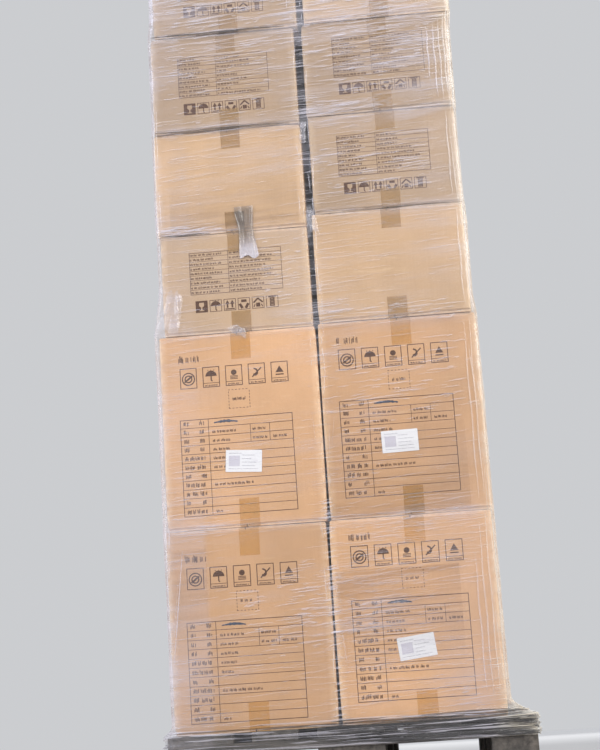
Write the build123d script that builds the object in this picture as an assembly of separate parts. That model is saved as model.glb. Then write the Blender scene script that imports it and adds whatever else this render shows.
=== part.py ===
from build123d import *
import os
from math import cos, radians, sin

# Stretch wrapped load of 24 taped cartons, six tiers of four, on a wooden four-way pallet.
# Origin at the middle of the pallet's underside. Z is up and the front, seen in use, faces -Y.

# Pallet timber, all sizes in millimetres
PALLET_WIDTH = 800.0
PALLET_LENGTH = 1200.0
WIDE_BOARD = 145.0
NARROW_BOARD = 100.0
BOARD_THICKNESS = 22.0
BLOCK_HEIGHT = 78.0
BLOCK_LENGTH = 145.0
CORNER_BEVEL = 12.0
EDGE_EASE = 1.5
ENTRY_CHAMFER = 12.0

# The load: two rows and two columns of cartons, set in from the ends and sides of the pallet
END_MARGIN = 22.0
TALL_SIDE_MARGIN = 34.0
SHORT_SIDE_MARGIN = 50.0
PLAIN_SIDE_MARGIN = 45.0
ROW_GAP = 6.0
COLUMN_GAP = 12.0

# Cartons: regular slotted boxes of corrugated board, heights of one box before it is loaded
ROW_DEPTH = (PALLET_LENGTH - ROW_GAP) / 2
COLUMN_WIDTH = (PALLET_WIDTH - COLUMN_GAP) / 2
CARTON_DEPTH = ROW_DEPTH - END_MARGIN
TALL_HEIGHT = 451.0
SHORT_HEIGHT = 240.0
PLAIN_HEIGHT = 260.0
CARTON_BOARD = 5.0
FOLD_BEVEL = 2.5
FLAP_SETBACK = 4.5
SEAM_GAP = 3.0
LAP_GROOVE_WIDTH = 2.0
LAP_GROOVE_DEPTH = 2.5

# Packing tape along the seam of each carton, with its ends turned over the front and back
TAPE_WIDTH = 45.0
TAPE_OFFSET = 8.0
TAPE_THICKNESS = 0.3
TALL_TAPE_LAP = 64.0
SHORT_TAPE_LAP = 48.0

# Address labels stuck to three of the front faces
LABEL_WIDTH = 82.0
LABEL_HEIGHT = 50.0
LABEL_THICKNESS = 0.3
LABEL_CORNER = 1.5

# Stretch film around the load and down over the edge of the pallet deck
FILM_THICKNESS = 1.0
FILM_CLEARANCE = 0.5
FILM_CORNER = 4.0
FILM_HEM = BOARD_THICKNESS + BLOCK_HEIGHT
FILM_FLARE = 32.0
FILM_STEP = 30.0
FILM_TOP_FOLD = 70.0

# The three kinds of carton: width, unloaded height, length of the turned tape ends
KINDS = {
    "tall": (COLUMN_WIDTH - TALL_SIDE_MARGIN, TALL_HEIGHT, TALL_TAPE_LAP),
    "short": (COLUMN_WIDTH - SHORT_SIDE_MARGIN, SHORT_HEIGHT, SHORT_TAPE_LAP),
    "plain": (COLUMN_WIDTH - PLAIN_SIDE_MARGIN, PLAIN_HEIGHT, SHORT_TAPE_LAP),
}

# Each column from the pallet up: kind, shifts to the right and to the front of its even place,
# turn in degrees, and how far the weight above has crushed the box
COLUMNS = {
    "left_front": [
        ("tall", -21.0, 0.0, 0.25, 3.0),
        ("tall", -14.0, 1.0, -0.20, 3.0),
        ("short", -18.5, 3.0, 0.30, 3.0),
        ("plain", -16.0, 4.0, -0.25, 9.0),
        ("short", -19.5, 9.0, 0.20, 1.0),
        ("short", -7.0, 14.0, -0.30, 2.0),
    ],
    "right_front": [
        ("tall", -23.0, 1.0, -0.15, 2.0),
        ("tall", -21.0, 0.0, 0.25, 0.0),
        ("plain", -16.5, 4.0, -0.20, 1.0),
        ("short", -13.0, 3.0, 0.35, 2.0),
        ("short", -12.0, 7.0, -0.30, 8.0),
        ("short", -6.0, 12.0, 0.20, 3.0),
    ],
    "left_back": [
        ("tall", -18.0, 0.0, -0.20, 2.0),
        ("tall", -20.0, -2.0, 0.15, 2.0),
        ("short", -20.0, 1.0, -0.30, 2.0),
        ("plain", -16.0, 3.0, 0.25, 6.0),
        ("short", -17.0, 5.0, -0.15, 2.0),
        ("short", -12.0, 9.0, 0.30, 2.0),
    ],
    "right_back": [
        ("tall", -21.0, -1.0, 0.20, 3.0),
        ("tall", -25.0, 0.0, -0.25, 1.0),
        ("plain", -15.0, 1.0, 0.15, 4.0),
        ("short", -14.0, 2.0, -0.30, 2.0),
        ("short", -11.0, 4.0, 0.25, 4.0),
        ("short", -9.0, 8.0, -0.20, 3.0),
    ],
}

# Labels: their carton, offset from the middle of its front, height above its base, and tilt
LABELS = {
    "label_tier_2_left": ("carton_2_left_front", 1.0, 148.0, -4.0),
    "label_tier_2_right": ("carton_2_right_front", -13.0, 166.0, 1.0),
    "label_tier_1_right": ("carton_1_right_front", -6.0, 159.0, 6.5),
}

DECK_TOP = 3 * BOARD_THICKNESS + BLOCK_HEIGHT
BLOCK_BASE = BOARD_THICKNESS
CROSS_BASE = BLOCK_BASE + BLOCK_HEIGHT
DECK_BASE = CROSS_BASE + BOARD_THICKNESS


def save(node, solid):
    """Write one node to its own STEP file."""
    export_step(solid, f"parts/{node}.step")


def pallet_outline():
    """The pallet's plan, with its four corners bevelled, as a column to trim pieces with."""
    plan = chamfer(Rectangle(PALLET_WIDTH, PALLET_LENGTH).vertices(), CORNER_BEVEL)
    return extrude(plan, DECK_TOP)


def timber(size_x, size_y, size_z, centre_x, centre_y, base_z, long_axis):
    """A sawn piece with eased long edges, trimmed to the pallet's plan."""
    piece = Box(size_x, size_y, size_z, align=(Align.CENTER, Align.CENTER, Align.MIN))
    piece = chamfer(piece.edges().filter_by(long_axis), EDGE_EASE)
    return Pos(centre_x, centre_y, base_z) * piece & pallet_outline()


def deck_boards():
    """Five lengthwise top boards, wide and narrow in turn, with equal gaps."""
    widths = [WIDE_BOARD, NARROW_BOARD, WIDE_BOARD, NARROW_BOARD, WIDE_BOARD]
    gap = (PALLET_WIDTH - sum(widths)) / (len(widths) - 1)
    left = -PALLET_WIDTH / 2
    for number, width in enumerate(widths, start=1):
        board = timber(width, PALLET_LENGTH, BOARD_THICKNESS, left + width / 2, 0, DECK_BASE, Axis.Y)
        save(f"deck_board_{number}", board)
        left += width + gap


def row_centres():
    """Names and middles in Y of the three rows of blocks and of the boards over them."""
    end = (PALLET_LENGTH - BLOCK_LENGTH) / 2
    return {"front": -end, "middle": 0.0, "back": end}


def line_centres():
    """Names, widths and middles in X of the three lengthwise lines of blocks."""
    side = (PALLET_WIDTH - NARROW_BOARD) / 2
    return {"left": (NARROW_BOARD, -side), "middle": (WIDE_BOARD, 0.0), "right": (NARROW_BOARD, side)}


def cross_boards():
    """Three boards across the blocks, under the deck."""
    for row, centre_y in row_centres().items():
        board = timber(PALLET_WIDTH, BLOCK_LENGTH, BOARD_THICKNESS, 0, centre_y, CROSS_BASE, Axis.X)
        save(f"cross_board_{row}", board)


def blocks():
    """Nine blocks that keep the deck off the bottom boards."""
    for row, centre_y in row_centres().items():
        for line, (width, centre_x) in line_centres().items():
            block = timber(width, BLOCK_LENGTH, BLOCK_HEIGHT, centre_x, centre_y, BLOCK_BASE, Axis.Z)
            save(f"block_{row}_{line}", block)


def bottom_boards():
    """Three lengthwise runners, with chamfered upper edges where truck wheels roll over them."""
    bay = (PALLET_LENGTH - 3 * BLOCK_LENGTH) / 2
    bay_middle = (BLOCK_LENGTH + bay) / 2
    for line, (width, centre_x) in line_centres().items():
        board = timber(width, PALLET_LENGTH, BOARD_THICKNESS, centre_x, 0, 0, Axis.Y)
        for side in (-1, 1):
            edge_x = centre_x + side * width / 2
            corner = Polyline(
                (edge_x, 0, BOARD_THICKNESS),
                (edge_x - side * ENTRY_CHAMFER, 0, BOARD_THICKNESS),
                (edge_x, 0, BOARD_THICKNESS - ENTRY_CHAMFER),
                close=True,
            )
            wedge = extrude(make_face(corner), bay / 2, dir=(0, 1, 0), both=True)
            for bay_y in (-bay_middle, bay_middle):
                board -= Pos(0, bay_y, 0) * wedge
        save(f"bottom_board_{line}", board)


def carton(width, height):
    """A closed slotted carton standing on Z = 0, front face at -CARTON_DEPTH / 2.

    Its four walls are one folded band with slightly flattened corners. The long flaps lie over
    the end walls at the top and at the bottom, meet along the middle and leave a seam there.
    """
    wall_height = height - 2 * CARTON_BOARD
    plan = chamfer(Rectangle(width, CARTON_DEPTH).vertices(), FOLD_BEVEL)
    walls = extrude(plan, wall_height)
    walls = chamfer(end_folds(walls), FOLD_BEVEL)
    flap_width = (width - SEAM_GAP) / 2
    flap = Box(flap_width, CARTON_DEPTH - 2 * FLAP_SETBACK, CARTON_BOARD)
    fold_edge = flap.edges().filter_by(Axis.Y).group_by(Axis.Z)[-1].sort_by(Axis.X)[-1]
    flap = Pos((width - flap_width) / 2, 0, 0) * chamfer(fold_edge, FOLD_BEVEL)
    flaps = flap + mirror(flap, Plane.YZ)
    upper = Pos(0, 0, height - CARTON_BOARD / 2) * flaps
    lower = Pos(0, 0, CARTON_BOARD / 2) * mirror(flaps, Plane.XY)
    return Pos(0, 0, CARTON_BOARD) * (walls - lap_groove(width, wall_height)) + upper + lower


def end_folds(walls):
    """The edges where the end walls fold inwards, under and over the long flaps."""
    crosswise = walls.edges().filter_by(Axis.X)
    return [edge for edge in crosswise if abs(edge.center().Y) > CARTON_DEPTH / 2 - FOLD_BEVEL]


def lap_groove(width, wall_height):
    """The raw edge of the side wall beside the corner where the blank is glued to itself."""
    groove = Box(LAP_GROOVE_DEPTH, LAP_GROOVE_WIDTH, wall_height)
    edge_y = CARTON_DEPTH / 2 - FOLD_BEVEL - LAP_GROOVE_WIDTH
    return Pos((width - LAP_GROOVE_DEPTH) / 2, edge_y, wall_height / 2) * groove


def tape_strip(lap):
    """A strip over a flat top at Z = 0, with both ends turned down by the given lap."""
    inner = Pos(0, -lap / 2) * Rectangle(CARTON_DEPTH, lap)
    inner = chamfer(inner.vertices().group_by(Axis.Y)[-1], FLAP_SETBACK)
    band = offset(inner, TAPE_THICKNESS, kind=Kind.INTERSECTION) - inner
    band &= Pos(0, TAPE_THICKNESS - lap / 2) * Rectangle(2 * CARTON_DEPTH, lap)
    return Pos(TAPE_OFFSET, 0, 0) * extrude(Plane.YZ * band, TAPE_WIDTH / 2, both=True)


def label():
    """A paper label lying in the XZ plane, its back at Y = 0."""
    plan = RectangleRounded(LABEL_WIDTH, LABEL_HEIGHT, LABEL_CORNER)
    return extrude(Plane.XZ * plan, LABEL_THICKNESS)


class Placed:
    """One carton in its place in the stack."""

    def __init__(self, column, kind, right, forward, turn, crush, base):
        self.width, unloaded_height, self.lap = KINDS[kind]
        self.height = unloaded_height - crush
        self.top = base + self.height
        column_side = -1 if column.startswith("left") else 1
        row_side = -1 if column.endswith("front") else 1
        centre_x = column_side * (self.width + COLUMN_GAP) / 2 + right
        centre_y = row_side * (CARTON_DEPTH + ROW_GAP) / 2 - forward
        self.place = Pos(centre_x, centre_y, base) * Rot(0, 0, turn)
        half_x = half_reach(self.width, CARTON_DEPTH, turn)
        half_y = half_reach(CARTON_DEPTH, self.width, turn)
        self.sides = (centre_x - half_x, centre_x + half_x, centre_y - half_y, centre_y + half_y)


def half_reach(along, across, turn):
    """Half the reach of a turned rectangle along one axis."""
    return (along * cos(radians(turn)) + across * abs(sin(radians(turn)))) / 2


def stack():
    """All cartons, as a list of tiers of node names and places. Each stands on the tape below."""
    columns = []
    for column, boxes in COLUMNS.items():
        base = DECK_TOP + TAPE_THICKNESS
        placed = []
        for number, (kind, right, forward, turn, crush) in enumerate(boxes, start=1):
            box = Placed(column, kind, right, forward, turn, crush, base)
            placed.append((f"carton_{number}_{column}", box))
            base = box.top + 2 * TAPE_THICKNESS
        columns.append(placed)
    return [dict(tier) for tier in zip(*columns)]


def cartons(tiers):
    """Every carton in its own node, and the tape of each tier in one node."""
    for number, tier in enumerate(tiers, start=1):
        strips = []
        for node, box in tier.items():
            save(node, box.place * carton(box.width, box.height))
            strip = tape_strip(box.lap)
            strips.append(box.place * Pos(0, 0, box.height) * strip)
            strips.append(box.place * mirror(strip, Plane.XY))
        save(f"seam_tape_{number}", Compound(children=strips))


def labels(tiers):
    """The labels, flat on the front faces of their cartons."""
    placed = {node: box for tier in tiers for node, box in tier.items()}
    for node, (carton_node, offset_x, height, tilt) in LABELS.items():
        on_front = Pos(offset_x, -CARTON_DEPTH / 2, height) * Rot(0, -tilt, 0)
        save(node, placed[carton_node].place * on_front * label())


def widest(outlines):
    """The rectangle that holds all the given ones, as left, right, front and back sides."""
    lefts, rights, fronts, backs = zip(*outlines)
    return (min(lefts), max(rights), min(fronts), max(backs))


def film_levels(tiers):
    """Height and plan of the film at each level where its slope changes, from the hem up."""
    boxes = [list(tier.values()) for tier in tiers]
    plans = [widest([box.sides for box in tier]) for tier in boxes]
    pallet = (-PALLET_WIDTH / 2, PALLET_WIDTH / 2, -PALLET_LENGTH / 2, PALLET_LENGTH / 2)
    skirt = widest([pallet, plans[0]])
    levels = [(FILM_HEM, skirt), (DECK_TOP + FILM_CLEARANCE, skirt)]
    levels.append((DECK_TOP + FILM_FLARE, plans[0]))
    for tier, plan, next_plan in zip(boxes, plans, plans[1:]):
        lowest_top = min(box.top for box in tier) - FILM_CLEARANCE
        highest_top = max(box.top for box in tier) + 2 * TAPE_THICKNESS + FILM_CLEARANCE
        shoulder = widest([plan, next_plan])
        levels.append((lowest_top - FILM_STEP, plan))
        levels.append((lowest_top, shoulder))
        levels.append((highest_top, shoulder))
        levels.append((highest_top + FILM_STEP, next_plan))
    levels.append((max(box.top for box in boxes[-1]) + 2 * TAPE_THICKNESS, plans[-1]))
    return levels


def film_section(height, plan, grow):
    """A rectangle a little outside or inside a plan, with bevelled corners, at the given height."""
    left, right, front, back = plan
    outline = Rectangle(right - left + 2 * grow, back - front + 2 * grow)
    outline = chamfer(outline.vertices(), FILM_CORNER)
    return Pos((left + right) / 2, (front + back) / 2, height) * outline


def film_body(levels, grow):
    """The space inside the film's face that stands the given distance off the load."""
    return loft([film_section(height, plan, grow) for height, plan in levels], ruled=True)


def stretch_film(tiers):
    """A thin open-ended wrap that steps with the tiers, and folds in over the top edges."""
    levels = film_levels(tiers)
    inside = FILM_CLEARANCE + LABEL_THICKNESS
    outside = inside + FILM_THICKNESS
    rim_height, rim_plan = levels[-1]
    rim = film_section(rim_height, rim_plan, outside) - film_section(rim_height, rim_plan, -FILM_TOP_FOLD)
    sides = film_body(levels, outside) - film_body(levels, inside)
    save("stretch_film", sides + extrude(rim, FILM_THICKNESS))


os.makedirs("parts", exist_ok=True)
deck_boards()
cross_boards()
blocks()
bottom_boards()
load = stack()
cartons(load)
labels(load)
stretch_film(load)
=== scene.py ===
"""Looks of a stretch wrapped pallet load: board, print, tape, film and timber around the fixed frame."""
import math
import random

from collections import Counter, namedtuple
from copy import copy
from functools import reduce

import bmesh
import bpy
from mathutils import Matrix, Vector, noise


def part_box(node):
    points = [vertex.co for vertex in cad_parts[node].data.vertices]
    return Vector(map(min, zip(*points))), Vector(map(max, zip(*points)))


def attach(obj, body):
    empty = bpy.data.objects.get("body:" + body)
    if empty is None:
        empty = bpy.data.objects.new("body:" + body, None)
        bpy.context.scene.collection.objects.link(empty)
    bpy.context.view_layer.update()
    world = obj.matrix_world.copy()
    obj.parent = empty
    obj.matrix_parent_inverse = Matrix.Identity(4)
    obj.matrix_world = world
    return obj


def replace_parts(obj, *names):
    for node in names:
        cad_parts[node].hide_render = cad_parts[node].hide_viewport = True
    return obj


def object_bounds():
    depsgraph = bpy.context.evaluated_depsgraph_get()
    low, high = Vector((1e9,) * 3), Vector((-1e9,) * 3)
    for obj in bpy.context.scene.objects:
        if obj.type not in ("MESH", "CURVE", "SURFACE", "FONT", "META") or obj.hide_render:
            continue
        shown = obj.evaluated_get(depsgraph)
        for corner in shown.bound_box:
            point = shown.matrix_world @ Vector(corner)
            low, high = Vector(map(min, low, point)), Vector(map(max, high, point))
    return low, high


# Camera: the photograph's viewpoint, in metres and degrees, and its focal length for a 36 mm wide frame
CAMERA_PLACE = (0.188, -4.244, 0.137)
CAMERA_YAW = -3.89
CAMERA_PITCH = 12.15
CAMERA_ROLL = -3.67
CAMERA_LENS = 99.36
SENSOR_WIDTH = 36.0

# Lamps: name, place, the point it is aimed at, size, power in watts, and colour
LAMPS = (
    ("key", (2.2, -3.8, 3.2), (0, 0, 1.1), 3.2, 158, (1.0, 0.97, 0.93)),
    ("fill", (-3.0, -3.0, 1.6), (0, 0, 1.0), 2.4, 50, (0.93, 0.96, 1.0)),
    ("right_rim", (3.2, 0.2, 1.5), (0.3, -0.5, 1.1), 2.4, 26, (1.0, 0.93, 0.80)),
    ("sky", (-1.5, -2.4, 3.0), (-0.15, -0.6, 1.8), 1.2, 15, (0.70, 0.75, 1.0)),
    ("left_rim", (-3.2, 0.2, 1.5), (-0.3, -0.5, 1.1), 2.4, 16, (0.95, 0.97, 1.0)),
    ("back", (0.8, 7.0, 4.0), (0, 0, 1.0), 6.0, 130, (1.0, 1.0, 1.0)),
)

# Floor: half its length, its two pale shades, the shade far away, and where the one passes into the other
FLOOR_REACH = 12.0
FLOOR_SHADES = ((0.50, 0.50, 0.51), (0.54, 0.54, 0.54))
FLOOR_FAR_SHADE = (0.97, 0.97, 0.97)
FLOOR_CHANGE = (4.0, 9.0)

# World: colour and strength of its light, and its shade where it is seen
WORLD_GLOW = (0.93, 0.95, 1.0)
GLOW_STRENGTH = 0.62
WORLD_SHADE = (0.60, 0.61, 0.63)

# The load, in metres
MM = 0.001
TIERS = 6
TALL_TIERS = (1, 2)
SIDES = ("left", "right")
COLUMNS = ("left_front", "right_front", "left_back", "right_back")
PLAIN_CARTONS = ("carton_3_right_front", "carton_4_left_front", "carton_3_right_back", "carton_4_left_back")
GAP_X = -0.018
DECK_TOP = 0.144

# Board colour of each kind of carton; the lighter board where it is rubbed bare and along its folds, partly
# wear and partly painted highlight; and how light each carton is beside its kind, partly its own tone and
# partly painted light and shade
BOARD_COLOURS = {"tall": (0.62, 0.362, 0.188), "short": (0.53, 0.365, 0.23), "plain": (0.61, 0.40, 0.23)}
BARE_AND_HIGHLIT_BOARD = (0.84, 0.64, 0.43)
BACK_TONE = 0.94
# How light each front carton is: partly its own board tone, partly painted light and shade, darker on the
# upper tiers
CARTON_TONES_AND_PAINTED_LIGHT = {
    "carton_1_left_front": 1.00,
    "carton_2_left_front": 1.14,
    "carton_1_right_front": 1.14,
    "carton_2_right_front": 1.00,
    "carton_3_left_front": 1.05,
    "carton_3_right_front": 0.98,
    "carton_4_left_front": 1.00,
    "carton_4_right_front": 0.86,
    "carton_5_left_front": 0.80,
    "carton_5_right_front": 0.77,
    "carton_6_left_front": 0.80,
    "carton_6_right_front": 0.98,
}

# Tape of the first tier, the second and all those above: its name, how far it covers the board, and colour
TAPES = (
    ("tape_lowest", 0.11, (0.66, 0.40, 0.17)),
    ("tape_tall", 0.17, (0.66, 0.40, 0.17)),
    ("tape_short", 0.28, (0.47, 0.31, 0.17)),
)

# Inks, and plain white
PRINT_INK = (0.068, 0.021, 0.004)
PEN_INK = (0.035, 0.05, 0.085)
LABEL_INK = (0.42, 0.41, 0.45)
LABEL_PALE_INK = (0.56, 0.54, 0.60)
WHITE = (1.0, 1.0, 1.0)

# Milky film, and the warm light painted into the film down the right front corner
MILKY = (0.78, 0.75, 0.83)
MILKY_PAINTED_WARM_LIGHT = (0.94, 0.86, 0.70)

# Kinds of film: how milky it is all over, how milky its threads and bands are, and its own shade
FILM_KINDS = {
    "film_clear": (0.0, 0.36, MILKY),
    "film_strand": (0.21, 0.3, MILKY),
    "film_rope": (0.24, 0.9, MILKY),
    # The crease film is near black: it paints shadow into the joints between tiers, and shade and dark
    # reflection into the hem's creases
    "film_crease": (0.50, 0.5, (0.045, 0.043, 0.045)),
    "film_fold": (0.16, 0.5, MILKY),
    "film_tail": (0.46, 0.5, (0.20, 0.17, 0.15)),
    "film_crumpled": (0.02, 0.35, MILKY),
}

# Faint even haze on the film: how it changes with X and with Z, each as two ends and the values there
VEILS = (
    ((-0.15, 0.12, 1.0, 0.30), (1.52, 1.80, 0.0, 0.04)),
    ((-0.302, -0.290, 0.10, 0.0), (0.56, 0.64, 1.0, 0.35)),
    ((0.16, 0.26, 0.0, 0.10), (0.55, 0.65, 1.0, 0.2)),
)

# Board wear, in metres: round folds, dents, sag under the box above, bulge, how far the lighter band of wear
# and painted highlight reaches from a fold, and crushed corners
FOLD_RADIUS = 0.0055
DENT_DEPTH = 0.0012
DENT_REACH = 0.060
TOP_SAG = 0.0016
BULGE = 0.0024
WEAR_AND_HIGHLIGHT_REACH = 0.008
CRUSH_REACH = 0.034
CORNER_CRUSHES = (0.0, 0.0, 0.003, 0.007)

# Distances from a fold at which the board is cut to bend, and the pitch of the cuts between
FOLD_CUTS = (0.0008, 0.0020, 0.0036, 0.0055)
FLAP_CUTS = (0.004, 0.010)
WIDTH_PITCH, DEPTH_PITCH, HEIGHT_PITCH = 0.018, 0.036, 0.016

# Print, in millimetres: how proud the inks stand, the longest bar in one piece, and where each print stands
INK_HEIGHT = 0.12
PEN_HEIGHT = 0.18
BAR_LENGTH = 12.0
PRINT_SHIFTS = {
    "carton_1_left_front": (-2, -9),
    "carton_2_left_front": (0, -2),
    "carton_1_right_front": (-2, 15),
    "carton_2_right_front": (-3, 13),
    "carton_3_left_front": (4, 1),
    "carton_4_right_front": (2, -8),
    "carton_5_left_front": (2, -8),
    "carton_5_right_front": (9, -3),
    "carton_6_left_front": (3, -4),
}

# Places in the prints, in millimetres from the lower left corner of the carton's end
Box = namedtuple("Box", "x y width height")
TITLE_WORD, TITLE_PITCH = Box(43, 384, 14, 20), 17
TALL_SQUARE, TALL_SQUARE_PITCH, CAPTION_HEIGHT = Box(45, 325, 39, 48), 52.3, 9.5
SEAL, SEAL_WORDS, DASH, DASH_LINE = Box(154, 272, 47.5, 43), Box(163, 290, 30, 9), 4.0, 1.3
TALL_TABLE, TALL_ROW = Box(40, 32, 257, 221.1), 20.1
SHORT_TABLE, SHORT_ROW = Box(62, 92, 214, 100.8), 11.2
SHORT_SQUARE, SHORT_SQUARE_PITCH = Box(72, 49, 28, 28), 32.6
PEN_STROKE = Box(118, 237, 54, 11)
PENNED_CARTONS = (
    "carton_1_left_front",
    "carton_2_left_front",
    "carton_1_right_front",
    "carton_2_right_front",
)
LABELS = ("label_tier_2_left", "label_tier_2_right", "label_tier_1_right")

# Rows of the tall cartons' table from the top: whether the heading stands apart, and length of the entry
TALL_ENTRIES = (
    ("apart", 0),
    ("apart", 54),
    ("apart", 40),
    ("apart", 42),
    ("full", 34),
    ("full", 28),
    ("apart", 0),
    ("full", 88),
    ("full", 0),
    ("apart", 0),
    ("full", 16),
)
SHORT_ROWS = 9

# The wrap, in metres: its lowest edge, how far it stands off, its slopes from box to box, and its rows
FILM_LOW = 0.101
FILM_STANDOFF = 0.0014
TOP_STANDOFF = 0.0022
DECK_INSET = 0.002
PALLET_SLOPE = 1.7
BRIDGE_SLOPE = 0.16
GAP_BLEND = 0.035
SIDE_SLACK = 0.002
PROFILE_STEP = 0.006
HEM_TOP = 0.156
HEM_ROWS = 26
FILM_ROWS = 240
SIDE_LENGTHS = (0.73, 1.17, 0.73, 1.17)
SIDE_CUTS = (118, 52, 56, 52)
FOLD_RINGS = 7
FOLD_WIDTH = 0.070

# Where film turns milky: near corners and joints; and heights where the hem and the top pass into the wrap
BEND_REACH = 0.022
SEAM_REACH = 0.018
SEAM_SHARE = 0.6
HEM_EDGE = (0.150, 0.162)
CROWN = (2.010, 2.016)

# Seeds of the random draws that place each kind of strand
STRAND_SEEDS = {
    "film_strands_front": 41,
    "film_strands_round": 43,
    "film_streaks": 67,
    "film_gap_threads": 77,
    "film_seam_gathers": 61,
    "film_hem_ropes": 5,
    "film_hem_painted_shades": 11,
    "film_gap_bridges": 83,
    "film_joint_painted_shadows": 91,
    "film_corner_folds": 23,
}

# How many strands lie on the front, round the rest, over the gap, beside it, in each joint and at each corner
FRONT_STRANDS, ROUND_STRANDS = 2800, 7600
GAP_THREADS, GAP_PUCKERS = 150, 80
JOINT_GATHERS = 34
CORNER_CREASES = 52

# Lengths that fine strands come in; dashes over the gap, by side of the load; and how high these go
STRAND_LENGTHS = (0.015, 0.02, 0.03, 0.045, 0.07, 0.12)
GAP_DASHES = ((0, 52), (2, 24))
DASH_TOP = 0.64

# Parts of the front where the strands bunch up: lower and upper X, lower and upper Z, and how many
STREAKED = (
    (0.00, 0.28, 1.32, 1.50, 70),
    (0.00, 0.20, 1.54, 1.58, 60),
    (0.00, 0.30, 1.58, 1.78, 50),
    (-0.35, -0.05, 1.60, 1.79, 40),
    (-0.36, -0.20, 1.275, 1.300, 40),
    (0.00, 0.33, 1.03, 1.10, 50),
    (0.00, 0.34, 0.78, 1.03, 90),
    (-0.20, -0.03, 0.24, 0.50, 60),
    (-0.09, 0.01, 0.36, 0.52, 60),
    (-0.12, -0.03, 1.08, 1.28, 50),
)

# Heights between which the film puckers beside the gap
PUCKERED = ((0.16, 1.0), (0.95, 1.55), (0.95, 1.55), (1.5, 1.95))

# Gathered turns round the deck, and dark strips of painted shade and dark reflection in its creases: first
# and last place, how many, and the widest
HEM_ROPES = ((0.0, 4.0, 150, 0.0050), (2.0, 2.6, 240, 0.0080))
HEM_PAINTED_SHADES = ((0.0, 4.0, 140, 0.0048), (0.35, 0.99, 80, 0.0060))

# Painted shadow in the open joints between tiers: column, tier below, lower and upper X, and width of the
# painted shadow
JOINT_PAINTED_SHADOWS = (
    ("left", 3, -0.365, -0.245, 0.0050),
    ("left", 4, -0.365, -0.040, 0.0066),
    ("left", 5, -0.365, -0.040, 0.0066),
    ("right", 3, 0.060, 0.340, 0.0036),
)

# Second layers of film on the front: lower and upper X, lower and upper Z, and shade at the foot and the top
LAPS = (
    (-0.010, 0.262, 0.27, 0.478, 0.1, 0.9),
    (-0.010, 0.300, 0.60, 0.88, 0.55, 0.1),
    (-0.376, -0.296, 0.380, 0.550, 0.2, 0.4),
    (-0.340, -0.040, 1.290, 1.420, 0.7, 0.0),
)

# Long pleats beside the right front corner: distance from the corner, lower and upper end
PLEATS = (
    (0.016, 1.56, 1.77),
    (0.027, 1.55, 1.76),
    (0.040, 1.56, 1.75),
    (0.055, 1.60, 1.74),
    (0.018, 0.63, 1.03),
    (0.030, 0.62, 1.02),
    (0.020, 0.20, 0.59),
    (0.034, 0.19, 0.57),
    (0.048, 0.20, 0.50),
    (0.020, 1.06, 1.29),
    (0.024, 1.32, 1.53),
    (0.004, 0.17, 0.59),
    (0.004, 0.60, 1.03),
    (0.004, 1.05, 1.28),
    (0.004, 1.30, 1.53),
    (0.004, 1.55, 1.78),
)

# The loose end of the film
TAIL_TOP = 1.336
TAIL_LEFT = -0.190
TAIL_WIDTH = 0.044
TAIL_LENGTH = 0.122

# Crumpled bunches of film on the front: middle in X and Z, width, height, lean in degrees
CRUMPLES = (
    (-0.345, 1.102, 0.052, 0.092, -14),
    (-0.196, 1.043, 0.050, 0.020, -34),
    (-0.012, 1.292, 0.024, 0.070, 6),
    (-0.018, 1.505, 0.018, 0.050, -6),
)

# Nails: distance from the board's long edges and its ends, radius and height of the head
NAIL_INSET, NAIL_END_INSET, NAIL_RADIUS, NAIL_HEIGHT = 0.028, 0.035, 0.005, 0.0002

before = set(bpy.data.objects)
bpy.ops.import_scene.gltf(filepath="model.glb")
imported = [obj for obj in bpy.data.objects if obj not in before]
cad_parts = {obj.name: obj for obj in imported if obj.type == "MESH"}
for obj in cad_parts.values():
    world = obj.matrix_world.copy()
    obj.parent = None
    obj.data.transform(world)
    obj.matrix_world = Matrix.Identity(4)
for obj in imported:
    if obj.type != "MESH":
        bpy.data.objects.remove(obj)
cad_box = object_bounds()


# Numbers


def clamp(value, low=0.0, high=1.0):
    """A value held between two others."""
    return min(max(value, low), high)


def near(distance, reach):
    """One at no distance, and nothing from the reach on."""
    return max(0.0, 1 - distance / reach)


def between(first, last, share):
    """The value at a share of the way from the first to the last."""
    return first + (last - first) * share


def rough(x, y, z):
    """Smooth noise at a point, from -1 to 1."""
    return noise.noise(Vector((x, y, z)))


def scaled(shade, factor):
    """A colour made lighter or darker."""
    return [channel * factor for channel in shade]


# Node helpers


def put(tree, socket, value):
    """Set a socket, or link it if the value is itself a socket. A colour is given by three channels."""
    if isinstance(value, bpy.types.NodeSocket):
        tree.links.new(value, socket)
    elif socket.type == "RGBA":
        socket.default_value = (*value, 1.0)
    else:
        socket.default_value = value


def node(tree, kind, **inputs):
    """A shader node, with the given input sockets set by name or linked to another socket."""
    made = tree.nodes.new(kind)
    for name, value in inputs.items():
        put(tree, made.inputs[name.replace("_", " ")], value)
    return made


def new_material(name):
    """An empty node material and its tree."""
    material = bpy.data.materials.new(name)
    material.use_nodes = True
    material.node_tree.nodes.clear()
    return material, material.node_tree


def finish(material, shader):
    """The material, with a shader on its surface."""
    node(material.node_tree, "ShaderNodeOutputMaterial", Surface=shader.outputs[0])
    return material


def object_point(tree):
    """The point on the object, in metres in the row frame."""
    return tree.nodes.new("ShaderNodeTexCoord").outputs["Object"]


def noise_value(tree, point, detail, roughness):
    """The value of a noise texture at a point, from 0 to 1."""
    made = node(tree, "ShaderNodeTexNoise", Vector=point, Scale=1.0, Detail=detail, Roughness=roughness)
    return made.outputs["Fac"]


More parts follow.
